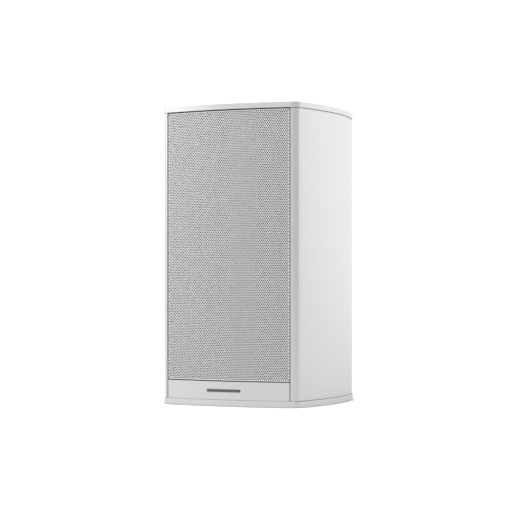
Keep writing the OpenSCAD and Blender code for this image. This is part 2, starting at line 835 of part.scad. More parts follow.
module tweeter_gasket() {
    color("dimgray") tweeter() difference() {
        ring(tweeter_r, tweeter_cut_r, -tweeter_rebate, -face_t);
        around(4, tweeter_screw_at, 45)
            translate([0, 0, -tweeter_rebate - 1]) cylinder(r = tweeter_screw_r + 0.1, h = 3);
    }
}

module tweeter_screws() {
    color("dimgray") tweeter() around(4, tweeter_screw_at, 45) difference() {
        union() {
            translate([0, 0, -2]) cylinder(r1 = tweeter_screw_r, r2 = tweeter_screw_r * 2, h = 2);
            translate([0, 0, -17]) cylinder(r = tweeter_screw_r, h = 15.5);
        }
        translate([0, 0, -1.2]) cylinder(r = 1.2, h = 2, $fn = 6);
    }
}

module tweeter_surround() {
    color("#26262a") tweeter() half_roll(dome_r + 2, 2, 0.4, motor_z, 0.6, 2);
}

module tweeter_dome() {
    color("#707078") tweeter() dome(dome_r - 0.6, dome_h, 0.35, motor_z + 0.4);
}

module tweeter_voice_coil() {
    color("peru") tweeter() {
        ring(dome_r - 0.6, dome_r - 0.85, motor_z - 4.6, motor_z + 0.4);
        ring(dome_r - 0.25, dome_r - 0.7, motor_z - 4.6, motor_z - 1.8);
    }
}

module tweeter_top_plate() {
    color("silver") tweeter() ring(tweeter_motor_r, dome_r + 0.1, motor_z - tweeter_plate_t, motor_z);
}

module tweeter_magnet() {
    front = motor_z - tweeter_plate_t;
    color("#303034") tweeter() ring(tweeter_motor_r + 1, dome_r + 4, front - tweeter_magnet_t, front);
}

module tweeter_yoke() {
    front = motor_z - tweeter_plate_t - tweeter_magnet_t;
    color("silver") tweeter() difference() {
        union() {
            translate([0, 0, front - tweeter_yoke_t]) cylinder(r = tweeter_motor_r, h = tweeter_yoke_t);
            translate([0, 0, front - 1]) cylinder(r = dome_r - 1.2, h = motor_z - front + 0.6);
        }
        translate([0, 0, front - tweeter_yoke_t - 1]) cylinder(r = 3, h = 30);
    }
}

module tweeter_rear_chamber() {
    front = motor_z - tweeter_plate_t - tweeter_magnet_t - tweeter_yoke_t;
    color("#3a3a3e") tweeter() difference() {
        translate([0, 0, front - chamber_l]) cylinder(r = chamber_r, h = chamber_l);
        translate([0, 0, front - chamber_l + 2]) cylinder(r = chamber_r - 2, h = chamber_l);
    }
}

module tweeter_terminal_strip() {
    front = motor_z - tweeter_plate_t - tweeter_magnet_t - tweeter_yoke_t;
    color("tan") tweeter() {
        translate([-7, -chamber_r - 8, front - 2]) cube([14, 7, 2]);
        both_sides() translate([3, -chamber_r - 8, front - 5]) cube([2, 1, 4]);
    }
}

// ---------------------------------------------------------------- crossover and leads

module crossover_board() {
    color("seagreen") place() difference() {
        translate([-board.x / 2, board_y, board_z]) cube(board);
        for (p = board_screws) translate([p.x, p.y, board_z - 1]) cylinder(r = 1.6, h = board.z + 2);
    }
}

module crossover_coils() {
    color("peru") place() for (p = coil_spots) translate([p.x, p.y, board_top]) difference() {
        cylinder(r = crossover_coil_r, h = crossover_coil_h);
        translate([0, 0, -1]) cylinder(r = crossover_coil_bore, h = crossover_coil_h + 2);
    }
}

module crossover_capacitors() {
    color("firebrick") place() for (p = capacitor_spots)
        translate([p.x - capacitor_l / 2, p.y, board_top + capacitor_r]) rotate([0, 90, 0])
            cylinder(r = capacitor_r, h = capacitor_l);
}

module crossover_resistors() {
    color("beige") place() for (p = resistor_spots)
        translate([p.x - resistor.x / 2, p.y - resistor.y / 2, board_top]) cube(resistor);
}

module crossover_standoffs() {
    color("silver") place() for (p = board_screws) translate([p.x, p.y, 0]) {
        translate([0, 0, base_top]) cylinder(r = 3.2, h = board_z - base_top);
        translate([0, 0, base_top - 3.5]) cylinder(r = 1.5, h = board_top - base_top + 4);
        translate([0, 0, board_top]) cylinder(r = 2.8, h = 2);
    }
}

module woofer_cable() {
    color("firebrick") place() lead_pair(woofer_route);
}

module tweeter_cable() {
    color("firebrick") place() for (x = [-4, 4]) translate([x, 0, 0]) lead(tweeter_route);
}

module input_cable() {
    color("firebrick") place() lead_pair(input_route);
}

// ---------------------------------------------------------------- back

module port_tube() {
    color("#303034") place() on_back(0, shell_back, port_z) rotate_extrude() difference() {
        union() {
            translate([port_r, -port_l]) square([port_wall, port_l + port_flange_t]);
            translate([port_r, 0]) square([port_flange_r - port_r, port_flange_t]);
        }
        difference() {
            translate([port_r - 1, port_flange_t - flare_r]) square([flare_r + 1, flare_r + 1]);
            translate([port_r + flare_r, port_flange_t - flare_r]) circle(flare_r);
        }
    }
}

module terminal_plate() {
    color("#2c2c30") place() translate([0, terminal_face - terminal_t, post_z]) rotate([-90, 0, 0])
        difference() {
            translate([-terminal_w / 2, -terminal_h / 2, 0]) cube([terminal_w, terminal_h, terminal_t]);
            for (p = terminal_holes) translate([p.x, p.y, -1]) cylinder(r = 1.6, h = terminal_t + 2);
            both_sides() translate([post_pitch / 2, 0, -1])
                cylinder(r = stud_r + close_fit, h = terminal_t + 2);
        }
}

module terminal_gasket() {
    color("dimgray") place() translate([0, shell_back, post_z]) rotate([-90, 0, 0]) difference() {
        translate([-terminal_w / 2, -terminal_h / 2, 0]) cube([terminal_w, terminal_h, terminal_gasket_t]);
        for (p = terminal_holes) translate([p.x, p.y, -1]) cylinder(r = 1.6, h = 3);
        translate([-terminal_cut.x / 2, -terminal_cut.y / 2, -1]) cube([terminal_cut.x, terminal_cut.y, 3]);
    }
}

module terminal_screws() {
    color("dimgray") place() for (p = terminal_holes) on_back(p.x, terminal_face, post_z + p.y)
        difference() {
            union() {
                cylinder(r = 2.8, h = 1.8);
                translate([0, 0, -10]) cylinder(r = 1.5, h = 11);
            }
            translate([0, 0, 0.8]) cylinder(r = 1.2, h = 2, $fn = 6);
        }
}

module at_posts() {
    both_sides() translate([post_pitch / 2, terminal_face, post_z]) rotate([-90, 0, 0]) children();
}

module post_studs() {
    color("gold") place() at_posts() difference() {
        union() {
            cylinder(r = collar_r, h = collar_h);
            translate([0, 0, -stud_in]) cylinder(r = stud_r, h = stud_in + stud_out);
        }
        translate([0, 0, collar_h + 2]) cylinder(r = socket_r, h = stud_out);
    }
}

module post_nuts() {
    post_nut_h = 4;
    color("gold") place() at_posts() difference() {
        translate([0, 0, -terminal_t - post_nut_h]) cylinder(r = 5.6, h = post_nut_h, $fn = 6);
        translate([0, 0, -20]) cylinder(r = stud_r + close_fit, h = 20);
    }
}

// The metal bush inside a post's cap: side is 1 for the right post and -1 for the left.
module post_bush(side) {
    place() translate([side * post_pitch / 2, terminal_face, post_z]) rotate([-90, 0, 0])
        ring(bush_r, bush_bore, collar_h + fit + 0.5, bush_end);
}

module post_cap(side) {
    low = stud_out + fit + cap_end_t - cap_l;
    flutes = 12;
    place() translate([side * post_pitch / 2, terminal_face, post_z]) rotate([-90, 0, 0]) difference() {
        translate([0, 0, low]) cylinder(r = cap_r, h = cap_l);
        translate([0, 0, low - 1]) cylinder(r = bush_r + close_fit, h = bush_end - low + 1 + close_fit);
        translate([0, 0, low]) cylinder(r = stud_r + fit, h = stud_out + fit - low);
        translate([0, 0, low]) cylinder(r = socket_r + 0.8, h = cap_l + 1);
        around(flutes, cap_r + 0.5) translate([0, 0, low + 3]) cylinder(r = 1.1, h = cap_l, $fn = 24);
    }
}

module post_red_bush() {
    color("gold") post_bush(-1);
}

module post_black_bush() {
    color("gold") post_bush(1);
}

module post_red_cap() {
    color("firebrick") post_cap(-1);
}

module post_black_cap() {
    color("#202022") post_cap(1);
}

cabinet_shell();
top_cap();
base_plate();
seam_gaskets();
tie_rods();
tie_nuts();
foot_pads();
front_baffle();
baffle_screws();
baffle_magnets();
lower_panel();
panel_screws();
badge();
window_brace();
foam_lining();
grille_sheet();
grille_cloth();
grille_frame();
grille_magnets();
woofer_basket();
woofer_gasket();
woofer_screws();
woofer_surround();
woofer_cone();
woofer_dust_cap();
woofer_voice_coil();
woofer_spider();
woofer_top_plate();
woofer_magnet();
woofer_yoke();
woofer_terminal_strip();
tweeter_faceplate();
tweeter_gasket();
tweeter_screws();
tweeter_surround();
tweeter_dome();
tweeter_voice_coil();
tweeter_top_plate();
tweeter_magnet();
tweeter_yoke();
tweeter_rear_chamber();
tweeter_terminal_strip();
crossover_board();
crossover_coils();
crossover_capacitors();
crossover_resistors();
crossover_standoffs();
woofer_cable();
tweeter_cable();
input_cable();
port_tube();
terminal_plate();
terminal_gasket();
terminal_screws();
post_studs();
post_nuts();
post_red_bush();
post_black_bush();
post_red_cap();
post_black_cap();
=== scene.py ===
"""The looks of the bookshelf loudspeaker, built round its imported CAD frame. All sizes are in metres."""

import json
import math

import bpy
import numpy as np
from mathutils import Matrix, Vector


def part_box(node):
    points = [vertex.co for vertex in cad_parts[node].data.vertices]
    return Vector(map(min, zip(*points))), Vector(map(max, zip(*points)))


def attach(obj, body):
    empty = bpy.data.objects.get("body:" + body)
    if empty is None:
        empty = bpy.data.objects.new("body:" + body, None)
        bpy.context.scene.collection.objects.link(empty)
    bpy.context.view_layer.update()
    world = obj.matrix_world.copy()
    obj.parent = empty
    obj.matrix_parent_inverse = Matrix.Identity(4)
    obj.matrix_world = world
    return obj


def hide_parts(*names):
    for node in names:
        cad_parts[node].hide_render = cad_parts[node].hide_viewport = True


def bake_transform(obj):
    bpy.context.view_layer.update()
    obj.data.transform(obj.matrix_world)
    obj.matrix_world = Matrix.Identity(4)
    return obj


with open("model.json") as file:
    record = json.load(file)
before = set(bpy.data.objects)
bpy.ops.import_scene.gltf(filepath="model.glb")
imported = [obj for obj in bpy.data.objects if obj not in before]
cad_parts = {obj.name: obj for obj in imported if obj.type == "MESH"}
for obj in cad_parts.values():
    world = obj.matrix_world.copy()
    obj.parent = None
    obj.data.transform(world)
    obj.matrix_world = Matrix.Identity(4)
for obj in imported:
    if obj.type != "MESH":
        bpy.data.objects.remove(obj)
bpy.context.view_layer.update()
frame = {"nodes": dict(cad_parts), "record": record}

NODES = frame["nodes"]
MM = 0.001

# ------------------------------------------------------------------ sizes read from the frame

FRONT_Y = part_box("top_cap")[0].y
BAFFLE_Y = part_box("front_baffle")[0].y
SHEET_LOW, SHEET_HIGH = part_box("grille_sheet")
SHEET_INSET = SHEET_LOW.y - FRONT_Y
SHEET_T = 0.8 * MM      # thickness of the grille's sheet
GRILLE_GAP = 1.3 * MM   # between the sheet and the sides of the front opening
OPENING_HALF = SHEET_HIGH.x + GRILLE_GAP
FRONT_RISE = 10.0 * MM  # how far the front bows across the opening
FRONT_R = (OPENING_HALF**2 + FRONT_RISE**2) / (2 * FRONT_RISE)


# ------------------------------------------------------------------ materials

GRAIN_DETAIL = 3.0         # finer layers of a surface's noise
SOFT_STOPS = (0.35, 0.65)  # where soft noise turns from one colour to the other
RIDGE_HEIGHT = 0.2 * MM
GAP_SAMPLES = 8            # rays that look for a gap's walls, for the painted shade


def new_material(name):
    material = bpy.data.materials.new(name)
    material.use_nodes = True
    return material


def parts_of(material):
    """The material's nodes, links and main shader."""
    tree = material.node_tree
    return tree.nodes, tree.links, tree.nodes["Principled BSDF"]


def noise_in_place(nodes, links, scale, stretch=(1, 1, 1)):
    """A noise node laid over the object's own coordinates."""
    place = nodes.new("ShaderNodeTexCoord")
    mapping = nodes.new("ShaderNodeMapping")
    noise = nodes.new("ShaderNodeTexNoise")
    mapping.inputs["Scale"].default_value = stretch
    noise.inputs["Scale"].default_value = scale
    links.new(place.outputs["Object"], mapping.inputs["Vector"])
    links.new(mapping.outputs["Vector"], noise.inputs["Vector"])
    return noise


def raise_by(nodes, links, shader, height, depth, distance):
    """Bumps the shader's surface by what a node gives out."""
    bump = nodes.new("ShaderNodeBump")
    bump.inputs["Strength"].default_value = depth
    bump.inputs["Distance"].default_value = distance
    links.new(height, bump.inputs["Height"])
    links.new(bump.outputs["Normal"], shader.inputs["Normal"])


def two_tone(nodes, links, shader, factor, stops, colours):
    """Colours the shader from a ramp between two colours."""
    ramp = nodes.new("ShaderNodeValToRGB")
    for element, stop, colour in zip(ramp.color_ramp.elements, stops, colours):
        element.position = stop
        element.color = colour
    links.new(factor, ramp.inputs["Fac"])
    links.new(ramp.outputs["Color"], shader.inputs["Base Color"])


def plain(name, colour, rough, metal=0.0, coat=0.0, specular=0.5):
    """A uniform surface."""
    material = new_material(name)
    values = {
        "Base Color": (*colour, 1), "Roughness": rough, "Metallic": metal,
        "Coat Weight": coat, "Specular IOR Level": specular,
    }
    _, _, shader = parts_of(material)
    for socket, value in values.items():
        shader.inputs[socket].default_value = value
    return material


def add_grain(material, scale, depth, stretch=(1, 1, 1), rough_swing=0.0, distance=0.05 * MM):
    """Fine noise in a surface's height, and in its roughness if asked."""
    nodes, links, shader = parts_of(material)
    noise = noise_in_place(nodes, links, scale, stretch)
    noise.inputs["Detail"].default_value = GRAIN_DETAIL
    raise_by(nodes, links, shader, noise.outputs["Fac"], depth, distance)
    if rough_swing:
        rough = shader.inputs["Roughness"].default_value
        spread = nodes.new("ShaderNodeMapRange")
        spread.inputs["To Min"].default_value = rough - rough_swing
        spread.inputs["To Max"].default_value = rough + rough_swing
        links.new(noise.outputs["Fac"], spread.inputs["Value"])
        links.new(spread.outputs["Result"], shader.inputs["Roughness"])
    return material


def vary_colour(material, scale, other):
    """Mixes a second colour in through soft noise."""
    nodes, links, shader = parts_of(material)
    noise = noise_in_place(nodes, links, scale)
    own = tuple(shader.inputs["Base Color"].default_value)
    two_tone(nodes, links, shader, noise.outputs["Fac"], SOFT_STOPS, (own, (*other, 1)))
    return material


def add_wave(material, scale, depth, axis):
    """Even ridges along an axis, such as a coil's turns."""
    nodes, links, shader = parts_of(material)
    place = nodes.new("ShaderNodeTexCoord")
    wave = nodes.new("ShaderNodeTexWave")
    wave.bands_direction = axis
    wave.inputs["Scale"].default_value = scale
    links.new(place.outputs["Object"], wave.inputs["Vector"])
    raise_by(nodes, links, shader, wave.outputs["Fac"], depth, RIDGE_HEIGHT)
    return material


def paint_gap_shade(material, reach, closed, clear, dark):
    """Paints shade into the colour inside gaps and holes: ambient occlusion darkens the base colour where
    walls are close by.
    """
    nodes, links, shader = parts_of(material)
    near = nodes.new("ShaderNodeAmbientOcclusion")
    near.samples = GAP_SAMPLES
    near.inputs["Distance"].default_value = reach
    own = tuple(shader.inputs["Base Color"].default_value)
    gap_shade_colour = (*(dark * c for c in own[:3]), 1)
    two_tone(nodes, links, shader, near.outputs["AO"], (closed, clear), (gap_shade_colour, own))
    return material


SILVER = plain("silver_metal", (0.80, 0.80, 0.80), 0.42, metal=0.85)
GRILLE = plain("grille_metal", (0.90, 0.90, 0.90), 0.6, metal=0.65)

MATERIALS = {
    # painted shade: the silver's colour darkens in the seams and gaps between parts
    "silver_metal": paint_gap_shade(
        add_grain(SILVER, 2500, 0.06, rough_swing=0.03),
        reach=6.0 * MM, closed=0.15, clear=0.5, dark=0.3,
    ),
    # painted shade: the grille's colour darkens on the walls of its holes
    "grille_metal": paint_gap_shade(
        add_grain(GRILLE, 2500, 0.05, rough_swing=0.03),
        reach=2.0 * MM, closed=0.55, clear=0.9, dark=0.05,
    ),
    "seam_strip": add_grain(plain("seam_strip", (0.80, 0.80, 0.80), 0.6), 900, 0.15),
    "badge_metal": add_grain(
        plain("badge_metal", (0.16, 0.16, 0.165), 0.36, metal=0.8), 900, 0.1, stretch=(0.2, 1, 4)
    ),
    "cloth": add_grain(plain("cloth", (0.008, 0.008, 0.008), 0.95, specular=0.1), 3000, 0.5),
    "black_plastic": add_grain(plain("black_plastic", (0.026, 0.026, 0.0275), 0.5), 1800, 0.25),
    "rubber": add_grain(plain("rubber", (0.02, 0.02, 0.02), 0.62), 900, 0.15),
    "baffle_board": add_grain(plain("baffle_board", (0.024, 0.024, 0.025), 0.6), 1200, 0.3),
    "brace_board": add_grain(
        vary_colour(plain("brace_board", (0.48, 0.34, 0.20), 0.75), 260, (0.58, 0.43, 0.26)), 900, 0.3
    ),
    "foam": add_grain(plain("foam", (0.10, 0.10, 0.11), 1.0, specular=0.1), 350, 1.0, distance=1.0 * MM),
    "steel": add_grain(plain("steel", (0.56, 0.56, 0.57), 0.34, metal=1.0), 700, 0.1, stretch=(1, 6, 1)),
    "black_steel": plain("black_steel", (0.04, 0.04, 0.042), 0.36, metal=0.6),
    "cast_metal": add_grain(plain("cast_metal", (0.045, 0.045, 0.048), 0.48, metal=0.3), 1500, 0.35),
    "cone": add_grain(
        vary_colour(plain("cone", (0.045, 0.045, 0.048), 0.66), 180, (0.065, 0.065, 0.07)), 600, 0.4
    ),
    "spider_cloth": add_grain(
        vary_colour(plain("spider_cloth", (0.42, 0.29, 0.10), 0.85), 900, (0.54, 0.38, 0.15)), 2500, 0.6
    ),
    "copper": add_wave(plain("copper", (0.72, 0.33, 0.18), 0.3, metal=1.0), 900, 0.6, "Z"),
    "ferrite": add_grain(plain("ferrite", (0.045, 0.045, 0.05), 0.7), 700, 0.3),
    "magnet_metal": plain("magnet_metal", (0.66, 0.65, 0.63), 0.16, metal=1.0),
    "dome_metal": plain("dome_metal", (0.50, 0.50, 0.52), 0.32, metal=1.0),
    "board_laminate": vary_colour(
        plain("board_laminate", (0.04, 0.20, 0.08), 0.4, coat=0.4), 400, (0.06, 0.26, 0.11)
    ),
    "film_case": plain("film_case", (0.33, 0.03, 0.02), 0.25, coat=0.5),
    "resistor_body": add_grain(plain("resistor_body", (0.62, 0.60, 0.54), 0.85), 800, 0.3),
    "red_cover": plain("red_cover", (0.45, 0.018, 0.015), 0.45),
    "gold": plain("gold", (0.80, 0.57, 0.23), 0.2, metal=1.0),
    "red_plastic": plain("red_plastic", (0.46, 0.015, 0.013), 0.22, coat=0.5),
    "black_gloss": plain("black_gloss", (0.014, 0.014, 0.014), 0.2, coat=0.5),
    "strip_board": vary_colour(plain("strip_board", (0.30, 0.18, 0.08), 0.7), 900, (0.36, 0.23, 0.11)),
}

SLOTS = {part["node"]: part["material_slot"] for part in frame["record"]["subparts"]}


def dress(obj, slot):
    obj.data.materials.clear()
    obj.data.materials.append(MATERIALS[slot])


# ------------------------------------------------------------------ carried-over CAD nodes

# Each node's edge radius, in millimetres.
BEVELS = {
    "cabinet_shell": 0.25, "top_cap": 0.25, "base_plate": 0.25, "lower_panel": 0.3, "badge": 0.3,
    "terminal_plate": 0.6, "front_baffle": 0.5, "grille_frame": 0.5, "window_brace": 0.5,
    "foot_pads": 0.3, "tie_nuts": 0.2, "post_nuts": 0.3, "crossover_board": 0.2,
    "crossover_resistors": 0.4, "crossover_capacitors": 0.8, "crossover_coils": 0.8,
    "woofer_magnet": 0.8, "woofer_top_plate": 0.4, "woofer_yoke": 0.6, "tweeter_magnet": 0.5,
    "tweeter_top_plate": 0.3, "tweeter_yoke": 0.4, "tweeter_rear_chamber": 0.8,
    "woofer_screws": 0.25, "tweeter_screws": 0.12, "terminal_screws": 0.25, "baffle_screws": 0.25,
    "panel_screws": 0.25, "post_studs": 0.3, "post_red_cap": 0.4, "post_black_cap": 0.4,
    "post_red_bush": 0.2, "post_black_bush": 0.2, "port_tube": 0.35, "woofer_basket": 0.35,
    "tweeter_faceplate": 0.3, "tie_rods": 0.3, "grille_magnets": 0.2, "baffle_magnets": 0.2,
}

# Nodes whose edges have room for the whole bevel, so that short edges nearby don't narrow it.
OPEN_EDGES = {"cabinet_shell", "top_cap", "base_plate", "lower_panel"}

# Nodes with broad flat faces, whose triangles are merged so that the bevel leaves no lines across them.
BROAD_FACES = OPEN_EDGES | {"terminal_plate", "front_baffle"}

WIDE_WELD = 0.03 * MM            # how near two corners are joined, on the nodes with open edges
FINE_WELD = 0.002 * MM           # and on all other nodes
FLAT_ANGLE = math.radians(0.05)  # faces closer than this to one plane are merged
EDGE_ANGLE = math.radians(38)    # edges sharper than this are rounded
BEVEL_STEPS = 2
FACE_WEIGHT = 100                # how much broad faces decide the shading's normals


def finish_node(name, obj):
    """Material, smooth shading and a small edge radius on a CAD node, none of which moves its mesh."""
    dress(obj, SLOTS[name])
    mesh = obj.data
    if "custom_normal" in mesh.attributes:
        mesh.attributes.remove(mesh.attributes["custom_normal"])
    mesh.polygons.foreach_set("use_smooth", [True] * len(mesh.polygons))
    weld = obj.modifiers.new("weld", "WELD")
    weld.merge_threshold = WIDE_WELD if name in OPEN_EDGES else FINE_WELD
    if name in BROAD_FACES:
        merge = obj.modifiers.new("flats", "DECIMATE")
        merge.decimate_type = "DISSOLVE"
        merge.angle_limit = FLAT_ANGLE
    if name in BEVELS:
        bevel = obj.modifiers.new("edges", "BEVEL")
        bevel.width = BEVELS[name] * MM
        bevel.segments = BEVEL_STEPS
        bevel.limit_method = "ANGLE"
        bevel.angle_limit = EDGE_ANGLE
        bevel.harden_normals = True
        bevel.use_clamp_overlap = name not in OPEN_EDGES
    else:
        normals = obj.modifiers.new("normals", "WEIGHTED_NORMAL")
        normals.keep_sharp = True
        normals.weight = FACE_WEIGHT


for node_name, node_obj in NODES.items():
    finish_node(node_name, node_obj)
dress(NODES["seam_gaskets"], "seam_strip")


# ------------------------------------------------------------------ mesh helpers

GRILLE_SMOOTH = 40.0  # degrees; sharper edges stay crisp
RING_SMOOTH = 60.0


def make_object(name, points, faces, smooth_angle=GRILLE_SMOOTH):
    """A mesh object that is smooth up to an angle in degrees."""
    mesh = bpy.data.meshes.new(name)
    mesh.from_pydata([tuple(p) for p in points], [], [tuple(int(i) for i in f) for f in faces])
    mesh.validate()
    mesh.polygons.foreach_set("use_smooth", [True] * len(mesh.polygons))
    mesh.set_sharp_from_angle(angle=math.radians(smooth_angle))
    obj = bpy.data.objects.new(name, mesh)
    bpy.context.scene.collection.objects.link(obj)
    return obj


def adopt(obj, body, slot, *nodes):
    """Gives a finished piece its material and body, and hides the CAD nodes it stands for."""
    dress(obj, slot)
    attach(obj, body)
    if nodes:
        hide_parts(*nodes)


# ------------------------------------------------------------------ perforated grille

HOLE_R = 0.88 * MM
HOLE_SIDES = 8
PITCH_X = 2.53 * MM     # between the holes of a row, before a row is fitted to the sheet
ROW_PITCH = 1.875 * MM  # between rows, before they are fitted to the sheet
RIM = 0.35 * MM         # plain metal beyond the outermost cells
BANDS = 4               # bands of the sheet, each a mesh of workable size
KEY_SCALE = 1e7         # corners that agree to 0.1 micrometre are one corner
LEVEL_DIGITS = 9        # decimal places that tell two levels of the sides apart
LEAST_STEP = 1e-8       # levels closer than this make no strip

SHEET_R = FRONT_R - SHEET_INSET
HALF_ARC = SHEET_R * math.asin(SHEET_HIGH.x / SHEET_R)
COLUMNS = round((HALF_ARC - RIM) / (PITCH_X / 2))
SIDE = (HALF_ARC - RIM) / COLUMNS                    # half the width of a cell
PIERCED = SHEET_HIGH.z - SHEET_LOW.z - 2 * RIM       # height of the rows of cells
ROWS = 2 * round((PIERCED / ROW_PITCH - 1) / 2) + 1  # odd, so that both end rows are alike
PITCH_Z = (PIERCED + math.sqrt(PIERCED**2 - 4 * ROWS * SIDE**2)) / (2 * ROWS)
SHOULDER = (PITCH_Z**2 - SIDE**2) / (2 * PITCH_Z)    # height of a cell's upper side corners
TIP = PITCH_Z - SHOULDER                             # half the height of a cell
EDGE = COLUMNS * SIDE
FIRST_ROW_Z = (SHEET_LOW.z + SHEET_HIGH.z - (ROWS - 1) * PITCH_Z) / 2

# The corners of a cell, one for each corner of its hole.
CELL = np.array(
    [
        (SIDE, 0), (SIDE, SHOULDER), (0, TIP), (-SIDE, SHOULDER),
        (-SIDE, 0), (-SIDE, -SHOULDER), (0, -TIP), (SIDE, -SHOULDER),
    ]
)
TURN = np.arange(HOLE_SIDES) * 2 * math.pi / HOLE_SIDES
HOLE = HOLE_R * np.column_stack((np.cos(TURN), np.sin(TURN)))


class FlatSheet:
    """Polygons on the unrolled sheet, as (arc length, height), that share their corners."""

    def __init__(self):
        self.index = {}
        self.points = []
        self.faces = []

    def corner(self, x, z):
        key = (round(x * KEY_SCALE), round(z * KEY_SCALE))
        if key not in self.index:
            self.index[key] = len(self.points)
            self.points.append((x, z))
        return self.index[key]

    def add(self, corners):
        """One polygon, turned so that it faces forward."""
        area = sum(
            a[0] * b[1] - b[0] * a[1] for a, b in zip(corners, [*corners[1:], corners[0]])
        )
        ordered = corners if area > 0 else corners[::-1]
        self.faces.append([self.corner(x, z) for x, z in ordered])

    def solid(self, thickness):
        """Bends the sheet round the front and gives it a back and walls, so that it is closed."""
        flat = np.array(self.points)
        angle = flat[:, 0] / SHEET_R
        layers = []
        for depth in (0, thickness):
            radius = SHEET_R - depth
            y = FRONT_Y + FRONT_R - radius * np.cos(angle)
            layers.append(np.column_stack((radius * np.sin(angle), y, flat[:, 1])))
        behind = len(flat)
        edges = {(a, b) for face in self.faces for a, b in zip(face, [*face[1:], face[0]])}
        backs = [[i + behind for i in reversed(face)] for face in self.faces]
        walls = [
            [b, a, a + behind, b + behind] for a, b in sorted(edges) if (b, a) not in edges
        ]
        return np.vstack(layers), self.faces + backs + walls


def row_z(row):
    return FIRST_ROW_Z + row * PITCH_Z


def add_row(sheet, row):
    """A row of holes in their cells. An odd row has one hole fewer, and half a cell at each end."""
    count = COLUMNS - row % 2
    for column in range(count):
        centre = np.array(((2 * column + 1 - count) * SIDE, row_z(row)))
        for k in range(HOLE_SIDES):
            n = (k + 1) % HOLE_SIDES
            sheet.add([centre + CELL[k], centre + CELL[n], centre + HOLE[n], centre + HOLE[k]])
    if row % 2:
        for s in (-1, 1):
            inner = [(EDGE - SIDE, z) for z in (-SHOULDER, 0, SHOULDER)]
            half = [(EDGE, -TIP), *inner, (EDGE, TIP)]
            sheet.add([(s * x, row_z(row) + z) for x, z in half])


def add_end(sheet, row, way, margin):
    """Fills between an end row, which is an even one, and the sheet's top (way 1) or bottom (way -1)."""
    line = row_z(row) + way * TIP
    notch = row_z(row) + way * SHOULDER
    tips = [(2 * i + 1) * SIDE - EDGE for i in range(COLUMNS)]
    for a, b in zip(tips[:-1], tips[1:]):
        sheet.add([(a, line), ((a + b) / 2, notch), (b, line)])
    for s in (-1, 1):
        sheet.add([(s * EDGE, line), (s * EDGE, notch), (s * tips[-1], line)])
    stops = [-HALF_ARC, -EDGE, *tips, EDGE, HALF_ARC]
    for a, b in zip(stops[:-1], stops[1:]):
        sheet.add([(a, line), (b, line), (b, margin), (a, margin)])


def add_sides(sheet, rows):
    """The plain strips beyond the outermost cells, with a corner wherever a cell has one."""
    stops = set()
    for row in rows:
        steps = (-TIP, TIP) if row % 2 else (-SHOULDER, 0, SHOULDER)
        stops.update(round(row_z(row) + step, LEVEL_DIGITS) for step in steps)
    if 0 in rows:
        stops.add(round(row_z(0) - TIP, LEVEL_DIGITS))
    if ROWS - 1 in rows:
        stops.add(round(row_z(ROWS - 1) + TIP, LEVEL_DIGITS))
    stops = sorted(stops)
    for a, b in zip(stops[:-1], stops[1:]):
        if b - a < LEAST_STEP:
            continue
        for s in (-1, 1):
            sheet.add([(s * EDGE, a), (s * HALF_ARC, a), (s * HALF_ARC, b), (s * EDGE, b)])


def build_grille():
    cuts = [round(ROWS * i / BANDS) for i in range(BANDS + 1)]
    for band in range(BANDS):
        sheet = FlatSheet()
        rows = range(cuts[band], cuts[band + 1])
        for row in rows:
            add_row(sheet, row)
        add_sides(sheet, rows)
        if band == 0:
            add_end(sheet, 0, -1, SHEET_LOW.z)
        if band == BANDS - 1:
            add_end(sheet, ROWS - 1, 1, SHEET_HIGH.z)
        obj = make_object(f"grille_sheet_{band + 1}", *sheet.solid(SHEET_T))
        adopt(obj, "grille", "grille_metal", *(["grille_sheet"] if band == 0 else []))


build_grille()


# ------------------------------------------------------------------ rolls and spider, in sectors

SECTOR_STEPS = 6


def lathe_sector(name, profile, centre, start, stop):
    """Turns a closed profile of (radius, forward) points round a driver's axis, from start to stop."""
    points, faces = [], []
    n = len(profile)
    for i in range(SECTOR_STEPS + 1):
        turn = start + (stop - start) * i / SECTOR_STEPS
        across, up = math.cos(turn), math.sin(turn)
        for radius, forward in profile:
            points.append((centre.x + radius * across, centre.y - forward, centre.z + radius * up))
    for i in range(SECTOR_STEPS):
        for k in range(n):
            m = (k + 1) % n
            a, b = i * n, (i + 1) * n
            faces.append((a + k, a + m, b + m, b + k))
    return make_object(name, points, faces, RING_SMOOTH)


def flexing_ring(name, profile, centre, slot, node, sectors):
    """A ring in sectors, turned round a driver's axis, in place of a CAD node that it hides."""
    width = 2 * math.pi / sectors
    first = None
    for i in range(sectors):
        obj = lathe_sector(f"{name}_{i + 1}", profile, centre, i * width, (i + 1) * width)
        dress(obj, slot)
        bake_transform(obj)
        first = first or obj
    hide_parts(node)


def roll_profile(mid, r, t, base, lip_in, lip_out, steps=14):
    """A half roll with a lip on each side, as (radius, forward) points."""
    top = [(mid - r - lip_in, base + t)]
    under = [(mid - r - lip_in, base)]
    for i in range(steps + 1):
        a = math.pi * (1 - i / steps)
        top.append((mid + r * math.cos(a), base + max(r * math.sin(a), t)))
        under.append((mid + (r - t) * math.cos(a), base + (r - t) * math.sin(a)))
    top.append((mid + r + lip_out, base + t))
    under.append((mid + r + lip_out, base))
    return top + under[::-1]


def driver_centre(node):
    """The middle of a driver, where its axis meets the baffle's face."""
    low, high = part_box(node)
    return Vector(((low.x + high.x) / 2, BAFFLE_Y, (low.z + high.z) / 2))


WOOFER = driver_centre("woofer_cone")
TWEETER = driver_centre("tweeter_dome")

ROLL_R = 5.5 * MM
ROLL_T = 0.8 * MM
ROLL_LIP_IN = 3.5 * MM
ROLL_LIP_OUT = 3.2 * MM
ROLL_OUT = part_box("woofer_surround")[1].x
ROLL_MID = ROLL_OUT - ROLL_LIP_OUT - ROLL_R
ROLL_BASE = BAFFLE_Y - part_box("woofer_surround")[1].y

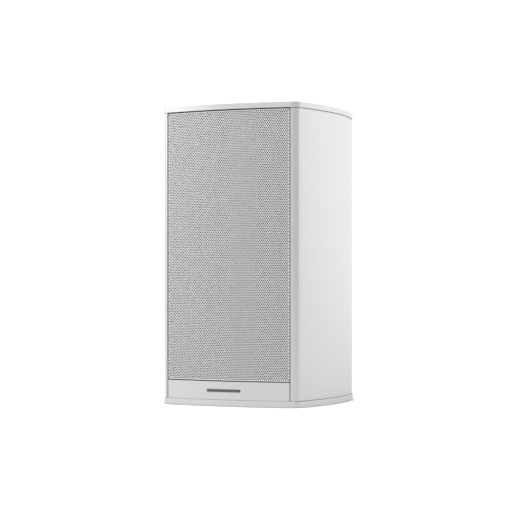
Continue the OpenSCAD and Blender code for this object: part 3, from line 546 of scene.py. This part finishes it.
flexing_ring(
    "woofer_roll",
    roll_profile(ROLL_MID, ROLL_R, ROLL_T, ROLL_BASE, ROLL_LIP_IN, ROLL_LIP_OUT),
    WOOFER, "rubber", "woofer_surround",
    sectors=20,
)

SPIDER_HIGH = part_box("woofer_spider")[1]
SPIDER_BASE = BAFFLE_Y - SPIDER_HIGH.y
SPIDER_T = 0.5 * MM
SPIDER_WAVES = 5
SPIDER_SWING = 1.5 * MM                # half the height of a wave
SPIDER_COLLAR = 3 * MM                 # flat cloth round the coil
SPIDER_RIM = 6 * MM                    # flat cloth at the outer edge
WINDING_T = 0.8 * MM                   # the winding on the coil's former
COIL_FIT = 0.05 * MM                   # clearance between the former and the cloth
COIL_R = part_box("woofer_voice_coil")[1].x - WINDING_T


def spider_profile(steps=40):
    """Corrugated cloth, as (radius, forward) points."""
    inner, outer = COIL_R + SPIDER_COLLAR, SPIDER_HIGH.x - SPIDER_RIM
    crest = [(COIL_R + COIL_FIT, SPIDER_BASE)]
    for i in range(steps + 1):
        swing = SPIDER_SWING * (1 - math.cos(2 * math.pi * SPIDER_WAVES * i / steps))
        crest.append((inner + (outer - inner) * i / steps, SPIDER_BASE + swing))
    crest.append((SPIDER_HIGH.x, SPIDER_BASE))
    return [(r, f + SPIDER_T) for r, f in crest] + crest[::-1]


flexing_ring(
    "woofer_spider_cloth", spider_profile(),
    WOOFER, "spider_cloth", "woofer_spider",
    sectors=16,
)

DOME_ROLL_R = 2.0 * MM
DOME_ROLL_T = 0.4 * MM
DOME_ROLL_LIP_IN = 0.6 * MM
DOME_ROLL_LIP_OUT = 2.0 * MM
DOME_ROLL_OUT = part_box("tweeter_surround")[1].x
DOME_ROLL_MID = DOME_ROLL_OUT - DOME_ROLL_LIP_OUT - DOME_ROLL_R
DOME_ROLL_BASE = BAFFLE_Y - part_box("tweeter_surround")[1].y

flexing_ring(
    "tweeter_roll",
    roll_profile(
        DOME_ROLL_MID, DOME_ROLL_R, DOME_ROLL_T, DOME_ROLL_BASE, DOME_ROLL_LIP_IN, DOME_ROLL_LIP_OUT
    ),
    TWEETER, "rubber", "tweeter_surround",
    sectors=12,
)

# ------------------------------------------------------------------ studio

MIDDLE = Vector((0, 0, 0.17))  # what the lights face
WHITE = (1, 1, 1, 1)
FILL = 0.50                    # how bright the room is to the speaker
BACKDROP = 1.2                 # how bright it is to the camera
FLOOR_HALF = 4                 # half the floor's width
FLOOR_COLOUR = (0.66, 0.66, 0.66, 1)
FLOOR_SHADE = 0.5              # the floor's brightness close to the speaker
SHADE_REACH = 0.02             # how far from the speaker the floor is shaded
SHADE_RANGE = (0.5, 0.8)       # the share of open sky at full shade, and where the shade ends


def softbox(name, place, power, width, height):
    """A lit rectangle that faces the middle of the speaker."""
    data = bpy.data.lights.new(name, "AREA")
    data.shape = "RECTANGLE"
    data.size = width
    data.size_y = height
    data.energy = power
    light = bpy.data.objects.new(name, data)
    bpy.context.scene.collection.objects.link(light)
    light.location = place
    light.rotation_euler = (MIDDLE - Vector(place)).to_track_quat("-Z", "Y").to_euler()


def from_azimuth(azimuth, distance, height):
    """A point at an angle round the speaker: 0 is in front and 90 to its right."""
    a = math.radians(azimuth)
    return (distance * math.sin(a), -distance * math.cos(a), height)


softbox("softbox_left", from_azimuth(-68, 1.7, 1.15), power=15, width=2.0, height=1.7)
softbox("softbox_front", from_azimuth(-8, 1.6, 1.15), power=2.4, width=1.2, height=1.0)
softbox("softbox_right", from_azimuth(170, 1.8, 0.7), power=14, width=3.0, height=2.2)
softbox("softbox_side", from_azimuth(115, 1.8, 0.9), power=1.0, width=1.6, height=1.6)
softbox("softbox_top", (0.1, -0.6, 1.9), power=25, width=1.6, height=1.6)

world = bpy.data.worlds.new("studio")
bpy.context.scene.world = world
world.use_nodes = True
world_nodes, world_links = world.node_tree.nodes, world.node_tree.links
fill = world_nodes["Background"]
fill.inputs["Color"].default_value = WHITE
fill.inputs["Strength"].default_value = FILL
backdrop = world_nodes.new("ShaderNodeBackground")
backdrop.inputs["Color"].default_value = WHITE
backdrop.inputs["Strength"].default_value = BACKDROP
path = world_nodes.new("ShaderNodeLightPath")
either = world_nodes.new("ShaderNodeMixShader")
world_links.new(path.outputs["Is Camera Ray"], either.inputs["Fac"])
world_links.new(fill.outputs["Background"], either.inputs[1])
world_links.new(backdrop.outputs["Background"], either.inputs[2])
world_links.new(either.outputs["Shader"], world_nodes["World Output"].inputs["Surface"])


def floor_material():
    """A pale floor that looks as bright as the backdrop, apart from a soft shade by the speaker."""
    material = new_material("floor_white")
    nodes, links, shader = parts_of(material)
    nodes.remove(shader)
    diffuse = nodes.new("ShaderNodeBsdfDiffuse")
    glow = nodes.new("ShaderNodeEmission")
    near = nodes.new("ShaderNodeAmbientOcclusion")
    level = nodes.new("ShaderNodeMapRange")
    light_path = nodes.new("ShaderNodeLightPath")
    mix = nodes.new("ShaderNodeMixShader")
    diffuse.inputs["Color"].default_value = FLOOR_COLOUR
    near.inputs["Distance"].default_value = SHADE_REACH
    level.inputs["From Min"].default_value = SHADE_RANGE[0]
    level.inputs["From Max"].default_value = SHADE_RANGE[1]
    level.inputs["To Min"].default_value = FLOOR_SHADE
    level.inputs["To Max"].default_value = BACKDROP
    links.new(near.outputs["AO"], level.inputs["Value"])
    links.new(level.outputs["Result"], glow.inputs["Strength"])
    links.new(light_path.outputs["Is Camera Ray"], mix.inputs["Fac"])
    links.new(diffuse.outputs["BSDF"], mix.inputs[1])
    links.new(glow.outputs["Emission"], mix.inputs[2])
    links.new(mix.outputs["Shader"], nodes["Material Output"].inputs["Surface"])
    return material


corners = [(x * FLOOR_HALF, y * FLOOR_HALF, 0) for x, y in ((-1, -1), (1, -1), (1, 1), (-1, 1))]
floor = make_object("floor", corners, [(0, 1, 2, 3)])
floor.data.materials.append(floor_material())

# ------------------------------------------------------------------ camera

CAMERA_PLACE = (1.3017, FRONT_Y - 2.0784, 0.1423)
CAMERA_TURN = math.radians(31.21)  # level, and turned to the left to face the speaker
LENS = 154.2
SHIFT_UP = 0.0487

camera_data = bpy.data.cameras.new("camera")
camera_data.sensor_width = 36.0
camera_data.lens = LENS
camera_data.shift_y = SHIFT_UP
camera_data.clip_end = 50.0
camera = bpy.data.objects.new("camera", camera_data)
bpy.context.scene.collection.objects.link(camera)
camera.location = CAMERA_PLACE
camera.rotation_euler = (math.radians(90), 0, CAMERA_TURN)
bpy.context.scene.camera = camera
bpy.context.scene.view_settings.view_transform = "Standard"
